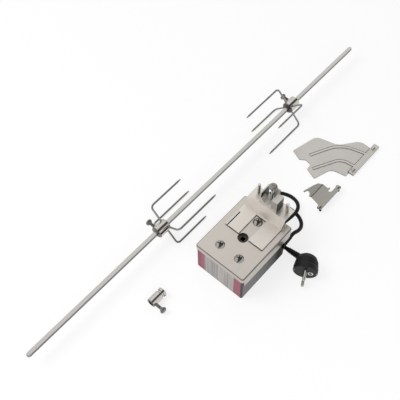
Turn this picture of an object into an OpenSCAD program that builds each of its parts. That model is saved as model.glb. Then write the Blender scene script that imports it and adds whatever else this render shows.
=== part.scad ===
// Rotisserie kit laid out on a flat surface: a square spit with two meat forks, a stop collar,
// a geared motor with its holder and mains lead, a support plate and a small spit bracket.
// Millimetres. X runs along the spit, Z is up, and the origin lies under the middle of the layout.

/* [Spit] */
// Length of the square bar
spit_l = 764; // [640:10:1000]
// Side of the square bar
spit_s = 6; // [5:0.5:8]
// Place of the bar across the layout
spit_y = 65.5; // [62:0.5:90]
// Play on each side between the bar and what slides on it
slide_gap = 0.2; // [0.1:0.05:0.4]

/* [Meat forks] */
// Place of the first fork's hub along the spit
fork_1_x = -116; // [-160:1:-100]
// Place of the second fork's hub along the spit
fork_2_x = 206; // [190:1:260]
// Distance of each tine from the spit's axis, sideways and up or down
tine_off = 26; // [20:0.5:32]
// Wire of the tines
wire_d = 3.2; // [2.4:0.1:4]
// Reach of the long tines from their arms
long_tine = 83; // [60:1:95]
// Reach of the short tines from their arms
short_tine = 66; // [45:1:85]
// Bend between arm and tine
bend_r = 6; // [4:0.5:10]
// Length of a tine's ground point
tip_l = 6; // [5:1:14]
// Diameter of the hub
hub_d = 20; // [16:0.5:26]
// Length of the hub
hub_l = 22; // [18:0.5:30]
// Distance from the hub's middle to the arms
arm_x = 6.5; // [4:0.5:7]
// Depth of the arms' seats in the hub
arm_seat = 3; // [2:0.5:4]
// Turn of the first fork's bent upper tine about the spit
bent_turn = 12; // [0:1:14]

/* [Hand screws] */
// Shank of the hand screws
screw_d = 5; // [4:0.5:6]
// Diameter of a hand screw's head
knob_d = 10.5; // [9:0.5:12]
// Thickness of a hand screw's head
knob_h = 5; // [4:0.5:8]
// Bare shank between a hub and its screw's head
hub_neck = 9; // [6:0.5:12]
// Bare shank between the collar and its screw's head
collar_neck = 11; // [6:0.5:14]
// Distance from a hub's middle to its screw
hub_screw_x = 5; // [4:0.5:6]

/* [Stop collar] */
// Middle of the collar along the layout
collar_x = -197; // [-260:1:-180]
// Place of the collar across the layout
collar_y = 0; // [-20:1:10]
// Outside of the sleeve
collar_d = 15; // [14:0.5:20]
// Length of the sleeve
collar_l = 26; // [22:1:36]
// Bore that clears the corners of the bar
collar_bore = 9; // [8.5:0.1:10]
// Length of the jawed end
jaw_l = 4; // [3:0.5:6]
// Slot between the jaws
jaw_slot = 4; // [3:0.5:5]

/* [Motor] */
// Middle of the face plate along the layout
motor_x = -60.5; // [-80:0.5:-55]
// Length of the face plate
cap_l = 113; // [105:1:130]
// Width of the face plate
cap_w = 88.5; // [85:0.5:100]
// Height of the motor
motor_h = 61; // [58:1:75]
// Sheet of can and face plate
sheet_t = 1.2; // [0.8:0.1:1.5]
// Overhang of the face plate behind the can
hood_l = 12; // [10:0.5:16]
// Depth of the face plate's folded rim
rim_h = 9; // [6:0.5:14]
// Added depth of the rim along its long sides
wing_h = 12.5; // [4:0.5:18]
// Distance of the front pair of face screws from the face's middle
screw_front_x = 33; // [30:0.5:36]
// Half distance between the front pair
screw_pair_y = 17.5; // [14:0.5:20]
// Distance of the rear face screw from the face's middle
screw_rear_x = 31; // [29:0.5:31.5]
// Head of a face screw
head_d = 14.5; // [11:0.5:15]
// Height of a face screw's head
head_h = 4; // [3:0.5:5]
// Width of each end band on the label
band_w = 13; // [8:1:18]

/* [Gear train] */
// Module of the output pair
out_module = 0.8; // [0.7:0.05:0.8]
// Module of the inner pairs
in_module = 0.6; // [0.5:0.05:0.6]
// Teeth of each wheel
wheel_n = 48; // [40:4:48]
// Teeth of each pinion
pinion_n = 12; // [12:1:13]
// Thickness of a wheel
gear_t = 4; // [3:0.5:4.5]
// Free height between wheels
layer_gap = 1.1; // [0.8:0.1:1.4]
// Play along the pitch line between meshed teeth
backlash = 0.12; // [0.1:0.01:0.2]
// Outside of the drive socket
socket_d = 14; // [12:0.5:14.5]
// Running clearance of shafts, on the radius
run_gap = 0.05; // [0.03:0.01:0.08]

/* [Holder] */
// Sheet of the holder
holder_t = 2; // [1.5:0.1:2.5]
// Half width of the holder
holder_half = 34; // [32:0.5:38]
// Half width of the gap between the holder's legs
leg_gap = 9; // [8.6:0.1:10]
// Rise of the ramp
ramp_h = 16; // [10:0.5:20]
// Run of the ramp
ramp_run = 8; // [6:0.5:12]
// Length of the lugs beyond the ramp
lug_l = 21; // [20:0.5:26]
// Half width of the cradle between the lugs
cradle_half = 15.5; // [14:0.5:17]
// Height of the cradle's walls above the lugs
cradle_h = 22; // [16:0.5:28]
// Half distance between the lug studs
stud_y = 26; // [24:0.5:28]
// Bare height of a lug stud
stud_h = 20; // [12:1:26]
// Head of the cradle's locking screw
lock_d = 12.5; // [10:0.5:13]

/* [Lead and plug] */
// Diameter of the lead
lead_d = 6; // [5:0.1:7]
// Thin end of the gland's nose and of the boot, over the lead
sleeve_over = 1; // [0.6:0.1:1.4]
// Face of the plug
plug_d = 37; // [36:0.5:40]
// Depth of the plug behind its face
plug_l = 27; // [24:0.5:32]
// Diameter of a plug pin
pin_d = 4.8; // [4:0.1:4.8]
// Length of a plug pin
pin_l = 19; // [18:0.5:19]
// Distance between the plug pins
pin_gap = 19; // [18:0.5:19]

/* [Support plate] */
// Sheet of the support plate
plate_t = 1.5; // [1:0.1:2.5]
// Width of a pressed rib
rib_w = 3.6; // [2.5:0.1:5]
// Height of a pressed rib
rib_h = 0.8; // [0.5:0.1:1.5]
// Length of the clamp bar
bar_l = 76; // [70:1:84]
// Width of the clamp bar
bar_w = 10; // [8:0.5:12]
// Thickness of the clamp bar
bar_t = 3; // [2:0.5:5]
// Distance between the clamp bolts
bolt_gap = 58; // [50:1:62]
// Head of a clamp bolt
bolt_head_d = 8; // [7:0.5:9.5]

/* [Spit bracket] */
// Sheet of the spit bracket
bracket_t = 1.5; // [1:0.1:2]
// Slope of the bracket's panel
bracket_slope = 20; // [14:1:24]
// Length of the bracket's panel up the slope
panel_l = 30; // [27:0.5:31]
// Width of the notch for the spit
notch_w = 7; // [6.5:0.1:8]
// Shank of the bracket's screws
bracket_screw_d = 4; // [3:0.5:4]

/* [Hidden] */
$fn = 48;

steel = [0.77, 0.75, 0.72];
dark_steel = [0.45, 0.44, 0.42];
fit = 0.05;

// Spit and forks
axis_z = tine_off + wire_d / 2;
bore_s = spit_s + 2 * slide_gap;
bar_end = 4;
tine_reach = tine_off * sqrt(2);
arm_in = hub_d / 2 - arm_seat;
hub_chamfer = 1.2;
screw_tip_gap = 0.3;

// Stop collar
jaw_neck_l = 3;
jaw_neck_d = collar_d - 3.5;
collar_screw_x = -collar_l / 2 + screw_d / 2 + 1.5;

// Motor casing
motor_y = cap_w / 2 - (spit_y + tine_off + wire_d / 2);
cap_under = motor_h - sheet_t;
corner_r = 2.5;
can_front = -cap_l / 2 + sheet_t + fit;
can_rear = cap_l / 2 - hood_l;
can_w = cap_w - 2 * (sheet_t + fit);
can_mid = (can_front + can_rear) / 2;
face_screw_at = [[-screw_front_x, screw_pair_y], [-screw_front_x, -screw_pair_y], [screw_rear_x, 0]];
face_thread_d = 5;
label_t = 0.4;
label_low = 1.5;
label_h = motor_h - rim_h - 1 - label_low;
label_w = can_w - 2 * corner_r;

// Gear frame and train, from the face plate down
drive_at = [-3, 0];
drive_hole_d = socket_d + 2.4;
bridge_t = 2;
bridge_z = cap_under - 2.8 - bridge_t;
wheel_z = [for (i = [0:2]) bridge_z - 1 - gear_t - i * (gear_t + layer_gap)];
base_top = wheel_z[2] - 4.8;
base_z = base_top - bridge_t;
frame_l = 84;
frame_w = 76;
post_d = 8;
out_wheel_r = out_module * wheel_n / 2;
out_pinion_r = out_module * pinion_n / 2;
in_wheel_r = in_module * wheel_n / 2;
in_pinion_r = in_module * pinion_n / 2;
mesh_1 = 90;
mesh_2 = -10;
mesh_3 = -70;
idler_1_at = drive_at + (out_wheel_r + out_pinion_r) * [cos(mesh_1), sin(mesh_1)];
idler_2_at = idler_1_at + (in_wheel_r + in_pinion_r) * [cos(mesh_2), sin(mesh_2)];
rotor_at = idler_2_at + (in_wheel_r + in_pinion_r) * [cos(mesh_3), sin(mesh_3)];
pivot_d = 6;
pivot_end_gap = 0.3;
idler_pin_d = 3;
idler_hub_d = 5.6;
rotor_shaft_d = 3;
bush_wall = 2;
bush_h = 4;
socket_top = motor_h - 3.5;
socket_depth = 14;

// Motor below the gear frame
cup_d = 44;
cup_wall = 1.2;
cup_low = 6;
rotor_d = 19;
rotor_low = 12;
rotor_h = 17;
air_gap = 0.8;

// Holder, in the face's own coordinates
leg_x = drive_at[0] + 1;
web_x = screw_rear_x + head_d / 2 + 0.75;
ramp_x = web_x + 4;
ramp_shift = holder_t * tan(atan(ramp_h / ramp_run) / 2);
lug_x = ramp_x + ramp_run;
lug_z = motor_h + ramp_h;
lug_end = lug_x + lug_l;
cradle_x = lug_x + 1;
stud_x = lug_x + 0.6 * lug_l;
block_y = -5;
trough_l = 10.5;
trough_r = 8;
trough_y = (block_y + cradle_half - holder_t) / 2;
lock_x = lug_x + 0.74 * lug_l;
tab_w = 8;
tab_h = cradle_h + 5;
block_short = 4;
lock_rise = 8;

// Lead: its route from the gland's nose to the boot lies on the surface, with one full loop
lead_route = [
  [8, -86, 12], [16, -86, 12], [25, -87.5, 9.5], [34, -86.5, 6.2], [42, -82, 4], [48, -74.5, 3],
  [51, -66, 3], [52, -57, 3], [51.5, -47, 3], [50, -37, 3], [46.5, -26, 3], [39, -17.5, 3],
  [28, -13, 3], [16.5, -15, 3], [7, -22.5, 3], [2.5, -34, 3], [4, -46, 3.6], [11, -55.5, 5],
  [21, -61, 7], [32, -63.5, 8.8], [42, -65, 9.6], [51, -65, 9.6], [60, -61.5, 8.5], [67, -54.5, 6.5],
  [70.5, -45, 4.6], [70.5, -35, 3.4], [66.5, -24, 3], [58.5, -14.5, 3], [47, -8, 3], [34, -5, 3],
  [20, -5, 3], [7, -7.5, 3], [-1.5, -14, 3], [-6.5, -23, 3], [-8, -33, 3], [-8, -50, 3],
  [-8, -67, 3], [-8, -83, 3.1], [-8.2, -88.5, 3.9], [-8.6, -93.5, 5.2]
];
lead_sides = 10;
exit_at = lead_route[0];
lead_end = lead_route[len(lead_route) - 1];
join_gap = 0.3;
gland_d = 11;
gland_flange_t = 4;
gland_at = [exit_at[0], exit_at[1] - motor_y, exit_at[2]];
plug_at = [-29, -140, plug_d / 2];
plug_yaw = 207;
boot_to = [-11.1, -125.3, 13.5];
boot_d = 11.6;
tail_end = 32;

// Support plate, in its own coordinates from the bar's near corner
plate_at = [162, -82];
tab_under = 8;
plate_outline = [
  [10, -tab_under, 1], [79, -tab_under, 1], [79, 0, 0], [74, 0, 0], [75.5, 22, 16], [44, 46, 24],
  [35, 84, 14], [-14, 96, 2], [-22, 77, 2], [-16, 69, 4], [-18, 57, 4], [-29, 56, 1.5],
  [-37, 36, 2], [-4, 25.5, 14], [0.5, 0, 1], [10, 0, 0]
];
rib_lines = [
  [[-4, 69, 0], [47.9, 43.5, 52], [58.5, 1.5, 0]],
  [[-23, 49, 0], [23.1, 24.8, 22], [25.5, 1.5, 0]]
];
bar_x = 8;
bolt_x = 16;
bolt_y = -4;
bolt_d = 5;

// Spit bracket, from the left end of its bend line
bracket_at = [93.5, -64];
bend_w = 32;
ear_w = 9;
ear_l = 10;
notch_at = 18.5;
notch_in = 6;

function unit(v) = v / norm(v);
function turn(a) = a > 180 ? a - 360 : a < -180 ? a + 360 : a;
function angle(v) = atan2(v[1], v[0]);
function arc(c, r, a, sweep, n) = [for (i = [0:n]) c + r * [cos(a + sweep * i / n), sin(a + sweep * i / n)]];

// A corner at p between its neighbours, rounded to radius r
function corner(before, p, after, r, n) =
  let(u = unit(before - p), v = unit(after - p), half = acos(u * v) / 2)
  let(c = p + unit(u + v) * r / sin(half), d = r / tan(half))
  let(from = angle(p + u * d - c), to = angle(p + v * d - c))
  r == 0 ? [p] : arc(c, r, from, turn(to - from), n);

function flat(p) = [p[0], p[1]];

// A closed outline from corners given as [x, y, radius]
function rounded(pts, n = 6) = [
  for (i = [0:len(pts) - 1])
    each corner(flat(pts[(i + len(pts) - 1) % len(pts)]), flat(pts[i]),
                flat(pts[(i + 1) % len(pts)]), pts[i][2], n)
];

function box(l, w, r) = [[-l / 2, -w / 2, r], [l / 2, -w / 2, r], [l / 2, w / 2, r], [-l / 2, w / 2, r]];

// An open line through corners, then a band of width w along it
function line(pts, n = 6) = [
  for (i = [0:len(pts) - 1])
    each (i == 0 || i == len(pts) - 1) ? [flat(pts[i])]
      : corner(flat(pts[i - 1]), flat(pts[i]), flat(pts[i + 1]), pts[i][2], n)
];
function heading(p, i) = unit(p[min(i + 1, len(p) - 1)] - p[max(i - 1, 0)]);
function side(p, i, d) = p[i] + d * [-heading(p, i)[1], heading(p, i)[0]];
function band(p, w) = concat(
  [for (i = [0:len(p) - 1]) side(p, i, -w / 2)],
  [for (i = [len(p) - 1:-1:0]) side(p, i, w / 2)]
);

// Involute gear outline with stub teeth, one tooth pointing along +X
pressure = 20;
function involute(a) = tan(a) * 180 / PI - a;
function tooth_half(m, n, r) =
  let(rp = m * n / 2, rb = rp * cos(pressure))
  90 / n - backlash / 4 / rp * 180 / PI + involute(pressure) - involute(acos(min(1, rb / r)));
function gear_outline(m, n) =
  let(rp = m * n / 2, tip = rp + 0.75 * m, root = rp - 1.1 * m)
  let(low = max(root + 0.05, rp * cos(pressure)))
  let(radii = [low, (low + tip) / 2, tip])
  [for (k = [0:n - 1]) each concat(
    [let(a = k * 360 / n - tooth_half(m, n, low)) root * [cos(a), sin(a)]],
    [for (r = radii) let(a = k * 360 / n - tooth_half(m, n, r)) r * [cos(a), sin(a)]],
    [for (i = [2:-1:0]) let(r = radii[i], a = k * 360 / n + tooth_half(m, n, r)) r * [cos(a), sin(a)]],
    [let(a = k * 360 / n + tooth_half(m, n, low)) root * [cos(a), sin(a)]]
  )];

// A tube along points, one ring at each
function tangent(p, i) = unit(p[min(i + 1, len(p) - 1)] - p[max(i - 1, 0)]);
function ring(p, i, r, n) =
  let(t = tangent(p, i), s = unit(cross(t, [0, 0, 1])), u = cross(s, t))
  [for (k = [0:n - 1]) p[i] + r * (cos(k * 360 / n) * s + sin(k * 360 / n) * u)];
module tube(p, r, n) {
  last = (len(p) - 1) * n;
  polyhedron(
    points = [for (i = [0:len(p) - 1]) each ring(p, i, r, n)],
    faces = concat(
      [[for (k = [0:n - 1]) k]],
      [for (i = [0:len(p) - 2], k = [0:n - 1]) [i * n + k, (i + 1) * n + k, i * n + (k + 1) % n]],
      [for (i = [0:len(p) - 2], k = [0:n - 1])
        [i * n + (k + 1) % n, (i + 1) * n + k, (i + 1) * n + (k + 1) % n]],
      [[for (k = [n - 1:-1:0]) last + k]]
    )
  );
}

module along_x() { rotate([0, 90, 0]) children(); }
module along_y() { rotate([-90, 0, 0]) children(); }
module at_motor(xy = [0, 0], z = 0) { translate([motor_x + xy[0], motor_y + xy[1], z]) children(); }
module slab(outline, t) { linear_extrude(t) polygon(rounded(outline)); }

module spit_bar() {
  end_r = 0.38 * spit_s;
  mid_r = 0.75 * spit_s;
  color(steel) translate([-spit_l / 2, spit_y, axis_z]) intersection() {
    translate([0, -spit_s / 2, -spit_s / 2]) cube([spit_l, spit_s, spit_s]);
    along_x() rotate_extrude() polygon([
      [0, 0], [end_r, 0], [mid_r, bar_end], [mid_r, spit_l - bar_end], [end_r, spit_l], [0, spit_l]
    ]);
  }
}

module at_fork(i) {
  translate([i == 1 ? fork_1_x : fork_2_x, spit_y, axis_z]) rotate([0, i == 1 ? 0 : 180, 0]) children();
}
function arm_angles(i) = [45, 135 + (i == 1 ? bent_turn : 0), 225, 315];

module fork_hub(i) {
  half = hub_l / 2;
  r = hub_d / 2;
  color(steel) at_fork(i) difference() {
    along_x() rotate_extrude() polygon([
      [0, -half], [r - hub_chamfer, -half], [r, hub_chamfer - half],
      [r, half - hub_chamfer], [r - hub_chamfer, half], [0, half]
    ]);
    translate([-hub_l, -bore_s / 2, -bore_s / 2]) cube([2 * hub_l, bore_s, bore_s]);
    for (a = arm_angles(i))
      rotate([a, 0, 0]) translate([arm_x, arm_in - fit, 0]) along_y() cylinder(d = wire_d + 2 * fit, h = r);
    translate([-hub_screw_x, 0, 0]) along_y() cylinder(d = screw_d + 2 * run_gap, h = hub_d);
  }
}

// One bent tine, its arm leaving the hub at angle a about the spit
module tine(reach, a) {
  rotate([a, 0, 0]) {
    translate([arm_x, arm_in, 0]) along_y() cylinder(d = wire_d, h = tine_reach - bend_r - arm_in);
    translate([arm_x + bend_r, tine_reach - bend_r, 0]) rotate(90)
      rotate_extrude(angle = 90) translate([bend_r, 0]) circle(d = wire_d);
    translate([arm_x + bend_r, tine_reach, 0]) along_x() {
      cylinder(d = wire_d, h = reach - bend_r - tip_l);
      translate([0, 0, reach - bend_r - tip_l]) cylinder(d1 = wire_d, d2 = 0.45 * wire_d, h = tip_l);
    }
  }
}

module long_tines(i) { color(steel) at_fork(i) for (k = [1, 3]) tine(long_tine, arm_angles(i)[k]); }
module short_tines(i) { color(steel) at_fork(i) for (k = [0, 2]) tine(short_tine, arm_angles(i)[k]); }

// A shank with a round head whose face is ringed
module hand_screw(shank) {
  r = knob_d / 2;
  cylinder(d = screw_d, h = shank + 1);
  translate([0, 0, shank]) rotate_extrude() polygon([
    [0, 0], [r - 1.2, 0], [r, 1.2], [r, knob_h - 1.2], [r - 1.2, knob_h], [r - 2.4, knob_h],
    [r - 2.8, knob_h - 0.8], [0, knob_h - 0.8]
  ]);
}

module fork_screw(i) {
  low = bore_s / 2 + screw_tip_gap;
  color(dark_steel) at_fork(i) translate([-hub_screw_x, low, 0]) along_y()
    hand_screw(hub_d / 2 + hub_neck - low);
}

module fork_1_hub() { fork_hub(1); }
module fork_1_long_tines() { long_tines(1); }
module fork_1_short_tines() { short_tines(1); }
module fork_1_hand_screw() { fork_screw(1); }
module fork_2_hub() { fork_hub(2); }
module fork_2_long_tines() { long_tines(2); }
module fork_2_short_tines() { short_tines(2); }
module fork_2_hand_screw() { fork_screw(2); }

module at_collar() { translate([collar_x, collar_y, collar_d / 2]) children(); }

module collar_sleeve() {
  half = collar_l / 2;
  r = collar_d / 2;
  neck = half - jaw_l - jaw_neck_l;
  color(steel) at_collar() difference() {
    along_x() rotate_extrude() polygon([
      [collar_bore / 2, -half], [r - 0.8, -half], [r, 0.8 - half], [r, neck - 0.8], [r - 0.8, neck],
      [jaw_neck_d / 2, neck], [jaw_neck_d / 2, half - jaw_l], [r, half - jaw_l], [r, half - 0.6],
      [r - 0.6, half], [collar_bore / 2, half]
    ]);
    translate([half - jaw_l, -collar_d, -jaw_slot / 2]) cube([2 * jaw_l, 2 * collar_d, jaw_slot]);
    translate([collar_screw_x, -collar_d, 0]) along_y() cylinder(d = screw_d + 2 * run_gap, h = collar_d);
  }
}

module collar_screw() {
  low = collar_bore / 2 + screw_tip_gap;
  color(dark_steel) at_collar() translate([collar_screw_x, -low, 0]) rotate([90, 0, 0])
    hand_screw(collar_d / 2 + collar_neck - low);
}

module motor_can() {
  l = can_rear - can_front;
  color(steel) at_motor([can_mid, 0]) difference() {
    slab(box(l, can_w, corner_r), cap_under);
    translate([0, 0, sheet_t])
      slab(box(l - 2 * sheet_t, can_w - 2 * sheet_t, corner_r - sheet_t), cap_under);
    translate([l / 2 - 4, gland_at[1], gland_at[2]]) along_x() cylinder(d = lead_d + 2, h = 8);
  }
}

// Long side of the rim below its fold, with its lower corners cut off
module rim_wing() {
  front = -cap_l / 2 + corner_r + sheet_t;
  top = motor_h - rim_h;
  low = top - wing_h;
  rotate([90, 0, 0]) linear_extrude(sheet_t)
    polygon([[front, top + 1], [front, low + 2], [front + 4, low], [-front - 4, low], [-front, low + 2], [-front, top + 1]]);
}

module face_plate() {
  color(steel) at_motor() {
    rim_shell();
    translate([0, cap_w / 2, 0]) rim_wing();
    translate([0, sheet_t - cap_w / 2, 0]) rim_wing();
  }
}

module rim_shell() {
  difference() {
    translate([0, 0, motor_h - rim_h]) slab(box(cap_l, cap_w, corner_r + sheet_t), rim_h);
    translate([0, 0, motor_h - rim_h - 1])
      slab(box(cap_l - 2 * sheet_t, cap_w - 2 * sheet_t, corner_r), rim_h + 1 - sheet_t);
    translate([drive_at[0], drive_at[1], cap_under - 1]) cylinder(d = drive_hole_d, h = 4);
    for (p = face_screw_at) translate([p[0], p[1], cap_under - 1]) cylinder(d = face_thread_d + 0.6, h = 4);
  }
}

// Domed screws with a cross recess
module face_screws() {
  dome_r = (head_d * head_d / 4 + head_h * head_h) / (2 * head_h);
  slot_w = 1.8;
  slot_l = 0.5 * head_d;
  color(steel) for (p = face_screw_at) at_motor(p, motor_h) {
    translate([0, 0, -12]) cylinder(d = face_thread_d, h = 12.5);
    difference() {
      intersection() {
        translate([0, 0, head_h - dome_r]) sphere(r = dome_r);
        cylinder(d = head_d, h = head_h);
      }
      for (a = [0, 90]) rotate(a + 20)
        translate([-slot_l / 2, -slot_w / 2, head_h - 1.8]) cube([slot_l, slot_w, 3]);
    }
  }
}

module label_sheet(low, high) {
  at_motor([can_front - label_t, low], label_low) cube([label_t, high - low, label_h]);
}
module label_field() { color([0.86, 0.84, 0.82]) label_sheet(band_w - label_w / 2, label_w / 2 - band_w); }
module label_bands() {
  color([0.62, 0.26, 0.34]) {
    label_sheet(-label_w / 2, band_w - label_w / 2);
    label_sheet(label_w / 2 - band_w, label_w / 2);
  }
}

module holder_bracket() {
  cut = 2 * (motor_h + ramp_h);
  color(steel) at_motor() difference() {
    rotate([90, 0, 0]) translate([0, 0, -holder_half]) linear_extrude(2 * holder_half) polygon([
      [leg_x, motor_h], [ramp_x, motor_h], [lug_x, lug_z], [lug_end, lug_z], [lug_end, lug_z + holder_t],
      [lug_x - ramp_shift, lug_z + holder_t], [ramp_x - ramp_shift, motor_h + holder_t],
      [leg_x, motor_h + holder_t]
    ]);
    translate([leg_x - 1, -leg_gap, 0]) cube([web_x - leg_x + 1, 2 * leg_gap, cut]);
    translate([cradle_x, -cradle_half, 0]) cube([2 * lug_l, 2 * cradle_half, cut]);
    for (s = [-1, 1]) translate([stud_x, s * stud_y, lug_z - 1]) cylinder(d = screw_d + 2 * fit, h = holder_t + 2);
  }
}

module lug_studs() {
  nut_h = 3.5;
  color(steel) for (s = [-1, 1]) at_motor([stud_x, s * stud_y], lug_z) {
    translate([0, 0, -nut_h]) cylinder(d = 9, h = nut_h, $fn = 6);
    translate([0, 0, -nut_h]) cylinder(d = screw_d - 4 * fit, h = nut_h + holder_t + 1, $fn = 6);
    translate([0, 0, holder_t]) cylinder(d = screw_d, h = stud_h);
  }
}

// Channel for the spit between the lugs: floor, left wall, boxed right side and an end tab
module spit_cradle() {
  half = cradle_half - 2 * fit;
  l = lug_end - cradle_x;
  top = holder_t + cradle_h;
  color(steel) at_motor([cradle_x, 0], lug_z) difference() {
    union() {
      translate([0, -half, 0]) cube([l, 2 * half, holder_t]);
      translate([0, half - holder_t, 0]) cube([l, holder_t, top]);
      translate([0, -half, 0]) cube([l - block_short, half + block_y, top]);
      translate([l - holder_t, block_y - 1, 0]) cube([holder_t, tab_w + 1, holder_t + tab_h]);
    }
    translate([holder_t, holder_t - half, holder_t])
      cube([2 * l, half + block_y - 2 * holder_t, cradle_h - holder_t]);
    translate([lock_x - cradle_x, trough_y, -1]) cylinder(d = screw_d + 2 * run_gap, h = holder_t + 2);
  }
}

module cradle_trough() {
  half = (cradle_half - holder_t - block_y) / 2 - 3 * fit;
  h = trough_r + 3;
  color([0.85, 0.83, 0.8]) at_motor([cradle_x, trough_y], lug_z + holder_t) difference() {
    translate([0, -half, 0]) cube([trough_l, 2 * half, h]);
    translate([-1, 0, h + 0.5]) along_x() cylinder(r = trough_r, h = trough_l + 2);
  }
}

module cradle_lock() {
  head_h = 4.5;
  top = cradle_h + holder_t + lock_rise;
  color([0.2, 0.2, 0.2]) at_motor([lock_x, trough_y], lug_z) {
    translate([0, 0, 0.2]) cylinder(d = screw_d, h = top - 0.2);
    translate([0, 0, top - 1]) rotate_extrude() polygon([
      [0, 0], [lock_d / 2 - 0.8, 0], [lock_d / 2, 0.8], [lock_d / 2, head_h - 1],
      [lock_d / 2 - 1, head_h], [0, head_h]
    ]);
  }
}

module frame_plate(z) {
  at_motor([0, 0], z) linear_extrude(bridge_t) polygon(rounded(box(frame_l, frame_w, 4)));
}

module gear_base() {
  color([0.7, 0.68, 0.6]) difference() {
    frame_plate(base_z);
    at_motor(drive_at, base_z - 1) cylinder(d = pivot_d + 2 * run_gap, h = bridge_t + 2);
    for (p = [idler_1_at, idler_2_at]) at_motor(p, base_z - 1) cylinder(d = idler_pin_d + fit, h = bridge_t + 2);
    at_motor(rotor_at, base_z - 1) cylinder(d = rotor_shaft_d + 2 * run_gap, h = bridge_t + 2);
  }
}

module gear_bridge() {
  color([0.7, 0.68, 0.6]) difference() {
    frame_plate(bridge_z);
    at_motor(drive_at, bridge_z - 1) cylinder(d = socket_d + 2 * (run_gap + bush_wall) + fit, h = bridge_t + 2);
    for (p = [idler_1_at, idler_2_at]) at_motor(p, bridge_z - 1) cylinder(d = idler_pin_d + fit, h = bridge_t + 2);
    for (p = face_screw_at) at_motor(p, bridge_z - 1) cylinder(d = post_d + fit, h = bridge_t + 2);
  }
}

module gear_posts() {
  color([0.8, 0.7, 0.45]) for (p = face_screw_at) at_motor(p, base_top) difference() {
    cylinder(d = post_d, h = cap_under - base_top);
    translate([0, 0, cap_under - base_top - 14]) cylinder(d = face_thread_d + fit, h = 15);
  }
}

module output_bush() {
  color([0.75, 0.6, 0.3]) at_motor(drive_at, bridge_z) difference() {
    cylinder(d = socket_d + 2 * (run_gap + bush_wall), h = bush_h);
    translate([0, 0, -1]) cylinder(d = socket_d + 2 * run_gap, h = bush_h + 2);
  }
}

module idler_pins() {
  color(steel) for (p = [idler_1_at, idler_2_at])
    at_motor(p, base_z) cylinder(d = idler_pin_d, h = bridge_z + bridge_t - base_z);
}

module drive_socket() {
  shoulder = base_top + 0.4;
  s = spit_s + 2 * slide_gap;
  color(dark_steel) at_motor(drive_at) difference() {
    union() {
      translate([0, 0, base_z + pivot_end_gap]) cylinder(d = pivot_d, h = shoulder - base_z);
      translate([0, 0, shoulder]) cylinder(d = socket_d, h = socket_top - shoulder);
    }
    translate([-s / 2, -s / 2, socket_top - socket_depth]) cube([s, s, socket_depth + 1]);
  }
}

module wheel(m, n, a, t) { rotate(a) linear_extrude(t) polygon(gear_outline(m, n)); }
pinion_turn = 180 + 180 / pinion_n;
pinion_over = 0.5;

module output_gear() {
  color([0.7, 0.66, 0.5]) at_motor(drive_at, wheel_z[0]) difference() {
    wheel(out_module, wheel_n, mesh_1, gear_t);
    translate([0, 0, -1]) cylinder(d = socket_d + fit, h = gear_t + 2);
  }
}

// A wheel with the pinion of the next pair above it, running on a fixed pin
module idler(at, layer, m_wheel, a_wheel, m_pinion, a_pinion) {
  low = base_top + 0.3;
  top = bridge_z - 0.3;
  pinion_low = wheel_z[layer] + gear_t;
  color([0.75, 0.72, 0.6]) at_motor(at) difference() {
    union() {
      translate([0, 0, low]) cylinder(d = idler_hub_d, h = top - low);
      translate([0, 0, wheel_z[layer]]) wheel(m_wheel, wheel_n, a_wheel, gear_t);
      translate([0, 0, pinion_low])
        wheel(m_pinion, pinion_n, a_pinion, layer_gap + gear_t + pinion_over);
    }
    cylinder(d = idler_pin_d + 2 * run_gap, h = motor_h);
  }
}

module idler_gear_1() { idler(idler_1_at, 1, in_module, mesh_2, out_module, mesh_1 + pinion_turn); }
module idler_gear_2() { idler(idler_2_at, 2, in_module, mesh_3, in_module, mesh_2 + pinion_turn); }

module rotor_pinion() {
  color(steel) at_motor(rotor_at) {
    translate([0, 0, cup_low + 3]) cylinder(d = rotor_shaft_d, h = wheel_z[2] - cup_low);
    translate([0, 0, wheel_z[2] - pinion_over])
      wheel(in_module, pinion_n, mesh_3 + pinion_turn, gear_t + 2 * pinion_over);
  }
}

module rotor_magnet() {
  color([0.25, 0.25, 0.27]) at_motor(rotor_at, rotor_low) difference() {
    cylinder(d = rotor_d, h = rotor_h);
    translate([0, 0, -1]) cylinder(d = rotor_shaft_d + fit, h = rotor_h + 2);
  }
}

module stator_coil() {
  color([0.7, 0.4, 0.2]) at_motor(rotor_at, rotor_low) difference() {
    cylinder(d = cup_d - 2 * cup_wall - 0.4, h = rotor_h);
    translate([0, 0, -1]) cylinder(d = rotor_d + 2 * air_gap, h = rotor_h + 2);
  }
}

module stator_cup() {
  r = cup_d / 2;
  color([0.72, 0.72, 0.7]) at_motor(rotor_at, cup_low) difference() {
    cylinder(d = cup_d, h = base_z - cup_low);
    translate([0, 0, cup_wall]) difference() {
      cylinder(r = r - cup_wall, h = base_z);
      cylinder(d = 8, h = 3.8);
    }
    translate([0, 0, 2.5]) cylinder(d = rotor_shaft_d + 2 * run_gap, h = base_z);
  }
}

module terminal_block() {
  l = 22;
  color([0.9, 0.88, 0.8]) at_motor([tail_end - l, gland_at[1] - 3.5], sheet_t) cube([l, 12, 14]);
}

module lead_tail() {
  color([0.08, 0.08, 0.08]) at_motor([tail_end, gland_at[1]], gland_at[2])
    along_x() cylinder(d = lead_d, h = can_rear - 1 - tail_end);
}

// Gland in the rear wall with a tapered nose round the lead
module lead_gland() {
  out = exit_at[0] - join_gap - motor_x - can_rear;
  color([0.08, 0.08, 0.08]) at_motor([can_rear, gland_at[1]], gland_at[2]) along_x() {
    cylinder(d = gland_d, h = gland_flange_t);
    translate([0, 0, gland_flange_t]) cylinder(d1 = gland_d - 2, d2 = lead_d + sleeve_over, h = out - gland_flange_t);
    difference() {
      translate([0, 0, -sheet_t - 4]) cylinder(d = lead_d + 2 - fit, h = sheet_t + 4);
      translate([0, 0, -sheet_t - 5]) cylinder(d = lead_d + fit, h = 5 + sheet_t - 1 + 2 * fit);
    }
  }
}

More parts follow.
